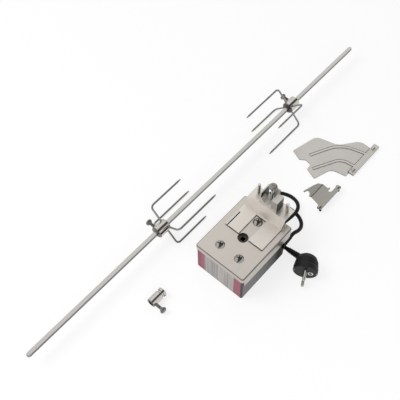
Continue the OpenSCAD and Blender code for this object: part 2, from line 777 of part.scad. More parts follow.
module power_lead() { color([0.05, 0.05, 0.05]) tube(lead_route, lead_d / 2, lead_sides); }

module from_to(a, b) {
  d = b - a;
  translate(a) rotate([0, acos(d[2] / norm(d)), angle(d)]) children();
}
module boot_shape(over) {
  l = norm(boot_to - lead_end);
  from_to(lead_end, boot_to) translate([0, 0, join_gap])
    cylinder(d1 = lead_d + sleeve_over + 2 * over, d2 = boot_d + 2 * over, h = l - join_gap + over);
}
module plug_boot() { color([0.06, 0.06, 0.06]) boot_shape(0); }

module at_plug() { translate(plug_at) rotate(plug_yaw) children(); }
earth_w = 5;
earth_l = 12;
earth_t = 0.8;

module plug_body() {
  r = plug_d / 2;
  color([0.07, 0.07, 0.07]) difference() {
    at_plug() difference() {
      rotate([0, -90, 0]) rotate_extrude() polygon([
        [0, 0], [r - 1, 0], [r, 1], [r, 7], [r - 1, 9], [0.86 * r, 0.72 * plug_l],
        [0.74 * r, 0.9 * plug_l], [0.55 * r, plug_l], [0, plug_l]
      ]);
      for (s = [-1, 1]) translate([-6, 0, s * pin_gap / 2]) along_x() cylinder(d = pin_d + fit, h = 10);
      for (s = [0, 180]) rotate([s, 0, 0])
        translate([-earth_l - 1, r - 2.2, -earth_w / 2 - fit]) cube([earth_l + 10, 5, earth_w + 2 * fit]);
    }
    boot_shape(3 * fit);
  }
}

module plug_pins() {
  color([0.8, 0.78, 0.72]) at_plug() for (s = [-1, 1]) translate([-5.5, 0, s * pin_gap / 2]) along_x() {
    cylinder(d = pin_d, h = 5.5 + pin_l - 1.2);
    translate([0, 0, 5.5 + pin_l - 1.2]) cylinder(d1 = pin_d, d2 = pin_d - 2, h = 1.2);
  }
}

module plug_earth_strips() {
  color([0.8, 0.78, 0.72]) at_plug() for (s = [0, 180]) rotate([s, 0, 0])
    translate([-earth_l, plug_d / 2 - 2.2, -earth_w / 2]) cube([earth_l, earth_t, earth_w]);
}

module at_plate(z = 0) { translate([plate_at[0], plate_at[1], z]) children(); }
clamp_bolt_at = [for (i = [0, 1]) [bolt_x + i * bolt_gap, bolt_y]];

module support_plate() {
  color(steel) at_plate() difference() {
    union() {
      linear_extrude(plate_t) polygon(rounded(plate_outline));
      for (l = rib_lines) linear_extrude(plate_t + rib_h) polygon(band(line(l, 12), rib_w));
    }
    for (p = clamp_bolt_at) translate([p[0], p[1], -1]) cylinder(d = bolt_d + 2 * fit, h = plate_t + 2);
  }
}

module clamp_bar() {
  color(steel) at_plate(plate_t) difference() {
    translate([bar_x, bolt_y - bar_w / 2, 0]) linear_extrude(bar_t) polygon(rounded(
      [[0, 0, 1], [bar_l, 0, 1], [bar_l, bar_w, 1], [0, bar_w, 1]]
    ));
    for (p = clamp_bolt_at) translate([p[0], p[1], -1]) cylinder(d = bolt_d + 2 * fit, h = bar_t + 2);
  }
}

module clamp_bolts() {
  h = 3;
  r = bolt_head_d / 2;
  dome_r = (r * r + h * h) / (2 * h);
  color(dark_steel) at_plate() for (p = clamp_bolt_at) translate([p[0], p[1], 0.3]) {
    cylinder(d = bolt_d, h = plate_t + bar_t);
    translate([0, 0, plate_t + bar_t - 0.3]) intersection() {
      translate([0, 0, h - dome_r]) sphere(r = dome_r);
      cylinder(r = r, h = h);
    }
  }
}

// Panel rising from the bend line, drawn flat: x along the bend, y up the slope
module on_panel() {
  translate([bracket_at[0], bracket_at[1], 0]) rotate([bracket_slope, 0, 180]) mirror([1, 0, 0]) children();
}
ear_at = [[-ear_w - 3, panel_l - ear_l / 2], [bend_w + ear_w - 4, panel_l - ear_l / 2]];

module spit_bracket() {
  far = bend_w - 1;
  r = notch_w / 2;
  color([0.62, 0.6, 0.56]) difference() {
    union() {
      on_panel() slab([
        [0, 0, 0], [bend_w, 0, 0], [bend_w - 4, notch_at - r - 3, 3], [far, notch_at - r, 1], [far, notch_at + r, 1],
        [bend_w + ear_w, panel_l - ear_l, 2], [bend_w + ear_w, panel_l, 2],
        [-ear_w - 7, panel_l, 2], [-ear_w - 7, panel_l - ear_l + 2, 2], [-ear_w, panel_l - ear_l + 1, 2]
      ], bracket_t);
      translate([bracket_at[0], bracket_at[1], 0]) slab([
        [bend_w, -0.2, 0], [bend_w - 4, 7.5, 2], [20, 11, 6], [0.5, 16.5, 0.8], [0, 14.5, 0.4], [7, 12, 2],
        [5, 7, 2], [-1, 4, 1], [0, -0.2, 0]
      ], bracket_t);
    }
    on_panel() translate([bend_w - notch_in, notch_at, -1]) {
      cylinder(d = notch_w, h = bracket_t + 2);
      translate([0, -r, 0]) cube([2 * notch_in, notch_w, bracket_t + 2]);
    }
    on_panel() for (p = ear_at) translate([p[0], p[1], -1]) cylinder(d = bracket_screw_d + 2 * fit, h = bracket_t + 2);
  }
}

// Screws through the ears, square to the panel, with their ends on the surface
module spit_bracket_screws() {
  reach = (panel_l - ear_l / 2) * tan(bracket_slope) - bracket_screw_d / 2 * tan(bracket_slope) - 0.2;
  color([0.12, 0.12, 0.12]) on_panel() for (p = ear_at) translate([p[0], p[1], 0]) {
    translate([0, 0, -reach]) cylinder(d = bracket_screw_d, h = reach + bracket_t + 0.5);
    translate([0, 0, bracket_t]) cylinder(d1 = 2 * bracket_screw_d - 0.5, d2 = bracket_screw_d, h = 2);
  }
}

spit_bar();
fork_1_hub();
fork_1_long_tines();
fork_1_short_tines();
fork_1_hand_screw();
fork_2_hub();
fork_2_long_tines();
fork_2_short_tines();
fork_2_hand_screw();
collar_sleeve();
collar_screw();
motor_can();
face_plate();
face_screws();
label_field();
label_bands();
holder_bracket();
lug_studs();
spit_cradle();
cradle_trough();
cradle_lock();
gear_base();
gear_bridge();
gear_posts();
output_bush();
idler_pins();
drive_socket();
output_gear();
idler_gear_1();
idler_gear_2();
rotor_pinion();
rotor_magnet();
stator_coil();
stator_cup();
terminal_block();
lead_tail();
lead_gland();
power_lead();
plug_boot();
plug_body();
plug_pins();
plug_earth_strips();
support_plate();
clamp_bar();
clamp_bolts();
spit_bracket();
spit_bracket_screws();
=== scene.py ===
import math

import bmesh
import bpy
from mathutils import Matrix, Vector


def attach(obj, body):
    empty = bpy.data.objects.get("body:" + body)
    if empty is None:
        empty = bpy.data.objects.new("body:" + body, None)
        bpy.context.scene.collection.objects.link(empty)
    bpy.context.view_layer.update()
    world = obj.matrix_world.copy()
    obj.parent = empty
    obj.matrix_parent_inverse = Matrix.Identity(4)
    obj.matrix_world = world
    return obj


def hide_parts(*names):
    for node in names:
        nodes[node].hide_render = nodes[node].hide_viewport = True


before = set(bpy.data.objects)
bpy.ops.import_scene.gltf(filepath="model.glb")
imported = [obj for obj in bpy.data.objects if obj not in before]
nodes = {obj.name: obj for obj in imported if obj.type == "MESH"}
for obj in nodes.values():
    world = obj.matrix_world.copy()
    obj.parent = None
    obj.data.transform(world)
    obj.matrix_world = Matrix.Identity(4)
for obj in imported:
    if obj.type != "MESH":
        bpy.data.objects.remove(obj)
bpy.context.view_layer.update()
scene = bpy.context.scene
scene.view_settings.view_transform = "Standard"

# Sizes and places are in millimetres, and are turned into metres where they are used
MM = 0.001
MOTOR = Vector((-60.5, -48.85, 0))
PLATE = Vector((162, -82, 0))
FACE_TOP = 61


def mm(*v):
    return Vector(v) * MM


def put(name, data):
    """A new object in the scene."""
    obj = bpy.data.objects.new(name, data)
    scene.collection.objects.link(obj)
    return obj


# Camera at the photograph's viewpoint
EYE = mm(-455.17, -328.34, 908.3)
RIGHT = Vector((0.66208, -0.7493, -0.01405))
UP = Vector((0.63577, 0.55163, 0.53991))
FORWARD = Vector((0.39681, 0.36639, -0.84161))
camera_data = bpy.data.cameras.new("camera")
camera_data.sensor_width = 36
camera_data.lens = 60.784
camera_data.clip_start = 0.05
camera_data.clip_end = 60
camera = put("camera", camera_data)
turn = Matrix((RIGHT, UP, -FORWARD)).transposed()
camera.matrix_world = Matrix.Translation(EYE) @ turn.to_4x4()
scene.camera = camera


# Materials
def shade(colour, k):
    return tuple(min(1.0, x * k) for x in colour)


def grey(k):
    return (k, k, k)


def stretch(axis, along, across):
    """Scales along one axis and across it."""
    return tuple(along if a == axis else across for a in "XYZ")


class Graph:
    """A node tree with short calls for the nodes used here."""

    def __init__(self, tree):
        self.tree = tree

    def add(self, kind, **values):
        node = self.tree.nodes.new(kind)
        for k, v in values.items():
            setattr(node, k, v)
        return node

    def link(self, a, b):
        self.tree.links.new(a, b)

    def feed(self, socket, v):
        """Links a socket to another one, or sets its own colour or number."""
        if isinstance(v, bpy.types.NodeSocket):
            self.link(v, socket)
        elif isinstance(v, tuple):
            socket.default_value = (*v, 1)
        else:
            socket.default_value = v

    def math(self, operation, *terms):
        node = self.add("ShaderNodeMath", operation=operation)
        for socket, v in zip(node.inputs, terms):
            self.feed(socket, v)
        return node.outputs[0]

    def part(self, vector, axis):
        """One coordinate of a vector."""
        node = self.add("ShaderNodeSeparateXYZ")
        self.link(vector, node.inputs[0])
        return node.outputs[axis]

    def ramp(self, fac, *stops):
        node = self.add("ShaderNodeValToRGB")
        elements = node.color_ramp.elements
        while len(elements) < len(stops):
            elements.new(0.5)
        for e, (at, colour) in zip(elements, stops):
            e.position = at
            e.color = (*colour, 1)
        self.link(fac, node.inputs["Fac"])
        return node.outputs["Color"]

    def span(self, fac, low, high, start=0.3, end=0.7):
        """Goes from low to high as fac goes from start to end."""
        node = self.add("ShaderNodeMapRange")
        limits = {"From Min": start, "From Max": end, "To Min": low, "To Max": high}
        for k, v in limits.items():
            node.inputs[k].default_value = v
        self.link(fac, node.inputs["Value"])
        return node.outputs["Result"]


class Look(Graph):
    """A material on the object's own coordinates."""

    def __init__(self, name):
        self.mat = bpy.data.materials.new(name)
        self.mat.use_nodes = True
        super().__init__(self.mat.node_tree)
        self.bsdf = self.tree.nodes["Principled BSDF"]
        self.coord = self.add("ShaderNodeTexCoord").outputs["Object"]

    def noise(self, scale, detail, scales=(1, 1, 1)):
        mapping = self.add("ShaderNodeMapping")
        mapping.inputs["Scale"].default_value = scales
        self.link(self.coord, mapping.inputs["Vector"])
        node = self.add("ShaderNodeTexNoise")
        node.inputs["Scale"].default_value = scale
        node.inputs["Detail"].default_value = detail
        self.link(mapping.outputs["Vector"], node.inputs["Vector"])
        return node.outputs["Fac"]

    def tones(self, fac, colour, dark, light, start=0.3, end=0.7):
        """A colour that goes from a dark to a light shade of itself."""
        return self.ramp(fac, (start, shade(colour, dark)), (end, shade(colour, light)))

    def facing(self, axis, low, high):
        """Goes from 0 to 1 as a face turns to look along an axis, between two limits."""
        normal = self.add("ShaderNodeTexCoord").outputs["Normal"]
        return self.span(self.math("ABSOLUTE", self.part(normal, axis)), 0.0, 1.0, low, high)

    def blend(self, fac, a, b, kind="MIX"):
        node = self.add("ShaderNodeMixRGB", blend_type=kind)
        for socket, v in zip(node.inputs, (fac, a, b)):
            self.feed(socket, v)
        return node.outputs["Color"]

    def bump(self, height, strength, distance=0.0001):
        node = self.add("ShaderNodeBump")
        node.inputs["Strength"].default_value = strength
        node.inputs["Distance"].default_value = distance
        self.link(height, node.inputs["Height"])
        self.link(node.outputs["Normal"], self.bsdf.inputs["Normal"])

    def out(self, **values):
        for k, v in values.items():
            self.feed(self.bsdf.inputs[k.replace("_", " ")], v)
        return self.mat


def brushed(name, colour, along="X", rough=(0.28, 0.42), contrast=0.1, shaded_edges=None, fold_shade=None):
    """Sheet metal with a brushed grain and faint smudges.

    Of the two last arguments, the first paints shade on faces by how far they face an axis: it
    gives the axis, two limits of facing it, and the dark tone of the faces at the first limit. The
    second paints shade, in the tone it gives, on rolled folds and sloping faces, and a lighter
    painted shade on upright sides below them.
    """
    m = Look(name)
    grain = m.noise(1400, 4, stretch(along, 0.012, 1))
    smudge = m.noise(22, 3)
    tone = m.tones(grain, colour, 1 - contrast, 1 + 0.6 * contrast, 0.25, 0.75)
    tone = m.blend(0.4, tone, m.tones(smudge, colour, 0.95, 1.04))
    # Painted shade: faces on the first side of the limits take a dark tone, as if in shadow
    if shaded_edges:
        axis, low, high, k = shaded_edges
        edge = m.tones(grain, colour, 0.8 * k, k, 0.25, 0.75)
        tone = m.blend(m.facing(axis, low, high), edge, tone)
    # Painted shade on rolled folds and sloping faces, lighter on upright sides
    if fold_shade:
        upright, fold_shade_tone, plain = grey(0.79), grey(fold_shade), grey(1)
        stops = (0.2, upright), (0.34, fold_shade_tone), (0.95, fold_shade_tone), (0.99, plain)
        tone = m.blend(1.0, tone, m.ramp(m.facing("Z", 0.0, 1.0), *stops), "MULTIPLY")
    m.bump(grain, 0.12)
    return m.out(Base_Color=tone, Metallic=1.0, Roughness=m.span(grain, *rough))


def polished(name, colour, along="X", rough=(0.07, 0.16), ends=1.0):
    """Turned metal: fine rings across the axis, slight unevenness and duller end faces."""
    m = Look(name)
    rings = m.noise(1800, 2, stretch(along, 1, 0.01))
    cloud = m.noise(60, 3)
    tone = m.tones(cloud, colour, 0.93, 1.04)
    if ends < 1:
        turned = m.tones(cloud, colour, 0.8 * ends, ends)
        tone = m.blend(m.facing(along, 0.3, 0.8), tone, turned)
    m.bump(rings, 0.05, 0.00005)
    return m.out(Base_Color=tone, Metallic=1.0, Roughness=m.span(rings, *rough))


def plastic(name, colour, rough=(0.42, 0.6), grain=900, strength=0.15, metal=0.0, gloss=0.5,
            rear_shade=None):
    """Moulded plastic, rubber or coating with a fine grain.

    The X span, when given, paints shade on the coating: across it the colour falls to a tenth and
    the gloss almost to nothing, darkest at its end.
    """
    m = Look(name)
    fine = m.noise(grain, 3)
    tone = m.tones(m.noise(30, 3), colour, 0.85, 1.15)
    if rear_shade:
        # Painted shade, growing along X
        x = m.part(m.coord, "X")
        painted_darkening = m.ramp(m.span(x, 0.0, 1.0, *rear_shade), (0, grey(1)), (1, grey(0.1)))
        tone = m.blend(1.0, tone, painted_darkening, "MULTIPLY")
        gloss = m.span(x, gloss, 0.03 * gloss, *rear_shade)
    m.bump(fine, strength)
    return m.out(Base_Color=tone, Metallic=metal, Roughness=m.span(fine, *rough),
                 Specular_IOR_Level=gloss)


def printed(name, low, high, streak):
    """Printed label: fine upright streaks over a pale ground."""
    m = Look(name)
    fine = m.noise(streak, 2, stretch("Z", 0.01, 1))
    broad = m.noise(streak * 0.3, 2, stretch("Z", 0.02, 1))
    lines = m.ramp(fine, (0.38, low), (0.58, high))
    ground = m.tones(broad, high, 0.86, 1, 0.35, 0.6)
    m.bump(fine, 0.05)
    return m.out(Base_Color=m.blend(0.55, lines, ground, "MULTIPLY"), Roughness=0.5)


# Painted shade on the can's side, from 35 mm before the motor's middle to 28 mm past it, darkest
# at the rear
CAN_REAR_SHADE = ((MOTOR.x - 35) * MM, (MOTOR.x + 28) * MM)
# Painted shade in this table: darker rolled edge and skirt on the face, darker slopes on the ribs,
# darker upright sides on the holder, plate, bar and bracket, and darker sides facing Y on the
# cradle
looks = {
    "face": brushed("face_steel", (0.66, 0.61, 0.56), "X", fold_shade=0.38),
    "holder": brushed("holder_steel", (0.84, 0.785, 0.725), "Y", (0.34, 0.5),
                      shaded_edges=("Z", 0.12, 0.42, 0.08)),
    "cradle": brushed("cradle_steel", (0.72, 0.695, 0.655), "X", (0.4, 0.55),
                      shaded_edges=("Y", 0.9, 0.6, 0.22)),
    "trough": brushed("trough_steel", (0.9, 0.875, 0.835), "X", (0.55, 0.7), 0.08),
    "stud": polished("stud_steel", (0.66, 0.645, 0.62), "Z", (0.06, 0.12)),
    "plate": brushed("plate_steel", (0.64, 0.61, 0.58), "X", (0.3, 0.45),
                     shaded_edges=("Z", 0.3, 0.8, 0.3)),
    "rib": brushed("rib_steel", (0.68, 0.65, 0.615), "X", (0.3, 0.45), fold_shade=0.16),
    # Near-black steel for the painted shadow lines
    "shadow_line": brushed("painted_shadow_steel", (0.05, 0.048, 0.045), "X", (0.4, 0.55), 0.2),
    "bar": brushed("bar_steel", (0.58, 0.565, 0.545), "X", (0.2, 0.32), shaded_edges=("Z", 0.3, 0.7, 0.3)),
    "bracket": brushed("bracket_steel", (0.42, 0.4, 0.37), "Y", (0.42, 0.56), 0.18,
                       shaded_edges=("Z", 0.2, 0.5, 0.4)),
    "can": plastic("can_coating", (0.026, 0.026, 0.0245), (0.1, 0.18), 700, 0.012, gloss=0.16,
                   rear_shade=CAN_REAR_SHADE),
    "polish_x": polished("polished_along_spit", (0.6, 0.575, 0.545), "X", (0.05, 0.11), 0.16),
    "polish_z": polished("polished_upright", (0.5, 0.485, 0.46), "Z"),
    "screw": polished("screw_steel", (0.4, 0.385, 0.365), "Z", (0.14, 0.24)),
    "knob": polished("knob_steel", (0.22, 0.22, 0.212), "Y", (0.22, 0.34)),
    "wire": polished("wire_steel", (0.31, 0.302, 0.292), "X", (0.14, 0.24)),
    "inner": brushed("inner_steel", (0.5, 0.48, 0.43), "X", (0.35, 0.5)),
    "brass": polished("inner_bronze", (0.15, 0.135, 0.11), "Z", (0.3, 0.42)),
    "copper": polished("winding_copper", (0.6, 0.3, 0.14), "Z", (0.3, 0.45)),
    "magnet": plastic("magnet_ferrite", (0.06, 0.06, 0.065), (0.5, 0.7)),
    "socket": polished("socket_steel", (0.05, 0.048, 0.045), "Z", (0.15, 0.25)),
    "lock": polished("lock_steel", (0.3, 0.29, 0.28), "Z", (0.26, 0.38)),
    "black": plastic("black_screw", (0.02, 0.02, 0.02), (0.3, 0.45), 700, 0.1, metal=0.6),
    "rubber": plastic("black_rubber", (0.007, 0.007, 0.007), (0.45, 0.6), gloss=0.22),
    "plug": plastic("black_plug", (0.011, 0.0105, 0.0105), (0.45, 0.58), 1200, 0.2, gloss=0.25),
    "ivory": plastic("terminal_plastic", (0.7, 0.67, 0.58)),
    "field": printed("label_field", (0.27, 0.255, 0.25), (0.52, 0.495, 0.485), 900),
    "bands": printed("label_bands", (0.3, 0.075, 0.12), (0.42, 0.12, 0.18), 420),
}
wear = {
    "holder": ["holder_bracket"],
    "cradle": ["spit_cradle"],
    "trough": ["cradle_trough"],
    "plate": ["support_plate", "clamp_bar"],
    "bar": ["spit_bar"],
    "bracket": ["spit_bracket"],
    "can": ["motor_can"],
    "polish_x": ["fork_1_hub", "fork_2_hub", "collar_sleeve"],
    "screw": ["face_screws"],
    "polish_z": ["clamp_bolts", "plug_pins", "plug_earth_strips", "idler_pins"],
    "wire": ["fork_1_long_tines", "fork_1_short_tines", "fork_2_long_tines", "fork_2_short_tines"],
    "inner": ["gear_base", "gear_bridge", "stator_cup", "output_gear", "idler_gear_1",
              "idler_gear_2", "rotor_pinion"],
    "brass": ["gear_posts", "output_bush"],
    "copper": ["stator_coil"],
    "magnet": ["rotor_magnet"],
    "socket": ["drive_socket"],
    "rubber": ["lead_tail"],
    "plug": ["plug_body"],
    "ivory": ["terminal_block"],
    "field": ["label_field"],
    "bands": ["label_bands"],
}
for look, names in wear.items():
    for n in names:
        nodes[n].data.materials.clear()
        nodes[n].data.materials.append(looks[look])

# Edges of carried-over nodes, rounded a little so that they catch the light
edge_widths = {"support_plate": 0.6, "clamp_bar": 0.5, "holder_bracket": 0.6, "spit_cradle": 0.4,
               "cradle_trough": 0.4, "spit_bracket": 0.3, "plug_body": 0.8}
for n, width in edge_widths.items():
    rounding = nodes[n].modifiers.new("edges", "BEVEL")
    rounding.width = width * MM
    rounding.segments = 2
    rounding.limit_method = "ANGLE"
    rounding.angle_limit = math.radians(35)
    rounding.use_clamp_overlap = True


# Pieces made here
def piece(bm, name, look, body, *replaced, slot=None):
    """Makes an object on a body, in place of the nodes it replaces."""
    mesh = bpy.data.meshes.new(name)
    bmesh.ops.recalc_face_normals(bm, faces=bm.faces)
    bm.to_mesh(mesh)
    bm.free()
    mesh.materials.append(looks[look])
    for f in mesh.polygons:
        f.use_smooth = True
    mesh.set_sharp_from_angle(angle=math.radians(32))
    obj = put(name, mesh)
    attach(obj, body)
    if replaced:
        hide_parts(*replaced)
    return obj


def aim(origin, direction):
    """Moves what was made along +Z from the origin to a place and a direction."""
    turned = Vector((0, 0, 1)).rotation_difference(Vector(direction).normalized())
    return Matrix.Translation(Vector(origin)) @ turned.to_matrix().to_4x4()


def join(bm, part, at):
    """Adds a finished part to a piece, moved to its place."""
    bmesh.ops.remove_doubles(part, verts=part.verts, dist=1e-6)
    bmesh.ops.transform(part, matrix=at, verts=part.verts)
    held = bpy.data.meshes.new("held")
    part.to_mesh(held)
    part.free()
    bm.from_mesh(held)
    bpy.data.meshes.remove(held)


def verts_in(geom):
    return [v for v in geom if isinstance(v, bmesh.types.BMVert)]


def edges_in(geom):
    return [e for e in geom if isinstance(e, bmesh.types.BMEdge)]


def face_in(geom):
    return next(f for f in geom if isinstance(f, bmesh.types.BMFace))


def pull(bm, face, by):
    """Draws a face out along a straight line and gives the face at its new end."""
    drawn = bmesh.ops.extrude_face_region(bm, geom=[face, *face.edges])["geom"]
    bmesh.ops.translate(bm, verts=verts_in(drawn), vec=by)
    return face_in(drawn)


def lathe(bm, profile, at, steps):
    """Spins a profile of [radius, distance along the axis] about the axis."""
    part = bmesh.new()
    made = [part.verts.new(mm(r, 0, z)) for r, z in profile]
    made += [part.edges.new(pair) for pair in zip(made, made[1:])]
    bmesh.ops.spin(part, geom=made, cent=(0, 0, 0), axis=(0, 0, 1), angle=2 * math.pi,
                   steps=steps, use_merge=True)
    join(bm, part, at)


def thread(bm, root, crest, pitch, low, high, at, steps=24):
    """A helical ridge from low to high along the axis."""
    turns = int((high - low) / pitch) - 1
    sunk = root - 0.2
    shape = [(sunk, 0), (root, 0), (crest, 0.4), (crest, 0.55), (root, 0.95), (sunk, 0.95)]
    part = bmesh.new()
    tooth = part.faces.new([part.verts.new(mm(r, 0, low + pitch * k)) for r, k in shape])
    bmesh.ops.spin(part, geom=[tooth], cent=(0, 0, 0), axis=(0, 0, 1),
                   dvec=(0, 0, pitch * MM / steps), angle=2 * math.pi * turns, steps=steps * turns)
    join(bm, part, at)


# Mains lead, from the gland round the holder's foot to the plug
ROUTE = [
    (8, -86, 12), (16, -86, 12), (25, -87.5, 9.5), (34, -86.5, 6.2), (42, -82, 4), (48, -74.5, 3),
    (51, -66, 3), (52, -57, 3), (51.5, -47, 3), (50, -37, 3), (46.5, -26, 3), (39, -17.5, 3),
    (28, -13, 3), (16.5, -15, 3), (7, -22.5, 3), (2.5, -34, 3), (4, -46, 3.6), (11, -55.5, 5),
    (21, -61, 7), (32, -63.5, 8.8), (42, -65, 9.6), (51, -65, 9.6), (60, -61.5, 8.5),
    (67, -54.5, 6.5), (70.5, -45, 4.6), (70.5, -35, 3.4), (66.5, -24, 3), (58.5, -14.5, 3),
    (47, -8, 3), (34, -5, 3), (20, -5, 3), (7, -7.5, 3), (-1.5, -14, 3), (-6.5, -23, 3),
    (-8, -33, 3), (-8, -50, 3), (-8, -67, 3), (-8, -83, 3.1), (-8.2, -88.5, 3.9),
    (-8.6, -93.5, 5.2),
]


def smooth(points, n=6):
    """Points of a smooth curve through the given ones, nowhere below the lowest of them."""
    p = [Vector(points[0]) * 2 - Vector(points[1])] + [Vector(q) for q in points]
    p.append(p[-1] * 2 - p[-2])
    line = []
    for i in range(1, len(p) - 2):
        for k in range(n):
            t = k / n
            a, b, c, d = p[i - 1:i + 3]
            line.append(0.5 * (2 * b + (c - a) * t + (2 * a - 5 * b + 4 * c - d) * t ** 2
                               + (3 * b - a - 3 * c + d) * t ** 3))
    line.append(p[-2])
    lowest = min(q[2] for q in points)
    return [Vector((q.x, q.y, max(q.z, lowest))) for q in line]


def cable(name, points, radius, look, body):
    """A round cord along a line of points."""
    data = bpy.data.curves.new(name, "CURVE")
    data.dimensions = "3D"
    data.bevel_depth = radius * MM
    data.bevel_resolution = 5
    data.use_fill_caps = True
    spline = data.splines.new("POLY")
    spline.points.add(len(points) - 1)
    for s, q in zip(spline.points, points):
        s.co = (*(q * MM), 1)
    spline.use_smooth = True
    data.materials.append(looks[look])
    obj = put(name, data)
    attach(obj, body)
    return obj


lead_line = smooth(ROUTE)
lead = cable("mains_lead", lead_line, 3, "rubber", "kit")
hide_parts("power_lead")

# Ribbed boot from the lead into the plug
boot_from, boot_to = Vector(ROUTE[-1]), Vector((-11.1, -125.3, 13.5))
boot_length = (boot_to - boot_from).length
boot_profile = [(0, 0.3), (3.4, 0.3), (3.5, 0.8)]
for i in range(6):
    z = 2 + i * 3.9
    r = 3.7 + 1.9 * z / boot_length
    boot_profile += [(r - 0.5, z), (r - 0.5, z + 0.9), (r + 0.1, z + 1.2), (r + 0.15, z + 3.2),
                     (r - 0.1, z + 3.6)]
boot_profile += [(5.5, 26.5), (5.8, boot_length - 2), (5.8, boot_length), (0, boot_length)]
bm = bmesh.new()
lathe(bm, boot_profile, aim(boot_from * MM, boot_to - boot_from), 40)
boot = piece(bm, "lead_boot", "rubber", "kit", "plug_boot")

# Finger ribs round the plug
PLUG = Vector((-29, -140, 18.5))
PLUG_TURN = math.radians(27)
plug_back = Vector((math.cos(PLUG_TURN), math.sin(PLUG_TURN), 0))
plug_side = Vector((math.sin(PLUG_TURN), -math.cos(PLUG_TURN), 0))
bm = bmesh.new()
for along, r in ((11.5, 17.2), (14.5, 16.7), (17.5, 16.2)):
    rib = [(-1, -1), (0.35, -0.7), (0.6, 0), (0.35, 0.7), (-1, 1), (-1, -1)]
    lathe(bm, [(r + out, along + z) for out, z in rib], aim(PLUG * MM, plug_back), 56)
grip = piece(bm, "plug_grip", "plug", "kit", slot="black_plastic")

# Lined earth hole in the plug's face
at = aim((PLUG + plug_side * 8 - Vector((0, 0, 1.5))) * MM, -plug_back)
bm = bmesh.new()
lathe(bm, [(2.7, -2), (2.7, 0.15), (2.9, 0.4), (3.9, 0.4), (4.1, 0.1), (4.1, -2), (2.7, -2)],
      at, 40)
earth = piece(bm, "plug_earth_ring", "trough", "kit", slot="polished_steel")

# Gland in the rear wall, with a ribbed sleeve
bm = bmesh.new()
gland = [(0, 0), (5.5, 0), (5.5, 3.2), (5, 4), (4.4, 4)]
for i in range(5):
    z = 5 + i * 3.5
    r = 4.4 - 0.045 * z
    gland += [(r - 0.35, z), (r - 0.35, z + 0.8), (r + 0.1, z + 1.1), (r, z + 3)]
gland += [(3.5, 23.2), (3.4, 23.7), (0, 23.7)]
lathe(bm, gland, aim(mm(-16, -86, 12), (1, 0, 0)), 40)
piece(bm, "lead_entry", "rubber", "kit", "lead_gland")

# Hand screws: threaded shank, collar and a rounded head
KNOB = [(0, -1.2), (3, -1.2), (3.3, -0.8), (3.3, 0.1), (4.3, 0.4), (5.05, 1.3), (5.25, 2.4),
        (5.05, 3.6), (4.3, 4.5), (3, 4.95), (2.7, 4.7), (0, 4.7)]


def hand_screw(name, node, body, origin, direction, low, head):
    """A screw whose shank starts at low and whose head starts at head, along the axis."""
    at = aim(mm(*origin), direction)
    end = head + 0.5
    bm = bmesh.new()
    lathe(bm, [(0, low), (1.9, low), (2.2, low + 0.4), (2.2, end), (0, end)], at, 32)
    thread(bm, 2.18, 2.5, 0.8, low + 0.2, head - 1.6, at)
    lathe(bm, [(r, head + z) for r, z in KNOB], at, 48)
    return piece(bm, name, "knob", body, node)


hand_screw("fork_1_clamp_screw", "fork_1_hand_screw", "fork_1_clamp", (-121, 65.5, 27.6),
           (0, 1, 0), low=3.5, head=19)
hand_screw("fork_2_clamp_screw", "fork_2_hand_screw", "fork_2_clamp", (211, 65.5, 27.6),
           (0, 1, 0), low=3.5, head=19)
hand_screw("collar_clamp_screw", "collar_screw", "collar_hand_screw", (-206, 0, 7.5),
           (0, -1, 0), low=4.8, head=18.5)

# Studs on the lugs: hexagon under the lug, plain upright part
bm = bmesh.new()
for side in (-1, 1):
    at = aim((MOTOR + Vector((63.6, 26 * side, 73.5))) * MM, (0, 0, 1))
    lathe(bm, [(0, 0), (4.1, 0), (4.5, 0.4), (4.5, 3.1), (4.1, 3.5), (0, 3.5)], at, 6)
    lathe(bm, [(0, 3.3), (2.5, 3.3), (2.5, 24.6), (1.8, 25.4), (0, 25.4)], at, 40)
piece(bm, "lug_stud_pair", "stud", "kit", "lug_studs")

# Locking screw of the cradle
at = aim((MOTOR + Vector((66.54, 4.25, 77))) * MM, (0, 0, 1))
bm = bmesh.new()
lathe(bm, [(0, 0.2), (2.2, 0.2), (2.2, 32.2), (0, 32.2)], at, 32)
thread(bm, 2.18, 2.5, 0.8, 0.4, 27, at)
piece(bm, "cradle_lock_shank", "polish_z", "lock_screw", "cradle_lock")
bm = bmesh.new()
lathe(bm, [(0, 31.8), (5.4, 31.8), (6.2, 32.3), (6.25, 33.9), (5.7, 34.9), (4.2, 35.4),
           (1.9, 35.5), (1.7, 34.6), (0, 34.6)], at, 48)
piece(bm, "cradle_lock_head", "lock", "lock_screw", "cradle_lock")

# Screws of the small bracket, square to its sloping panel
PANEL_SLOPE = math.radians(20)
UP_PANEL = 25
down = Vector((0, -math.sin(PANEL_SLOPE), -math.cos(PANEL_SLOPE)))
heads, shanks = bmesh.new(), bmesh.new()
for u in (-12, 37):
    foot = Vector((93.5 + u, -64 - UP_PANEL * math.cos(PANEL_SLOPE),
                   UP_PANEL * math.sin(PANEL_SLOPE)))
    at = aim(foot * MM, down)
    lathe(heads, [(0, -3.5), (1.6, -3.5), (2.4, -3.2), (3.75, -1.5), (0, -1.5)], at, 32)
    lathe(shanks, [(0, -1.5), (1.7, -1.5), (1.7, 7), (1.2, 7.9), (0, 7.9)], at, 28)
    thread(shanks, 1.68, 2.0, 0.7, 0.2, 7.2, at, 20)
piece(heads, "bracket_screw_heads", "screw", "kit", "spit_bracket_screws")
piece(shanks, "bracket_screw_shanks", "black", "kit", "spit_bracket_screws")

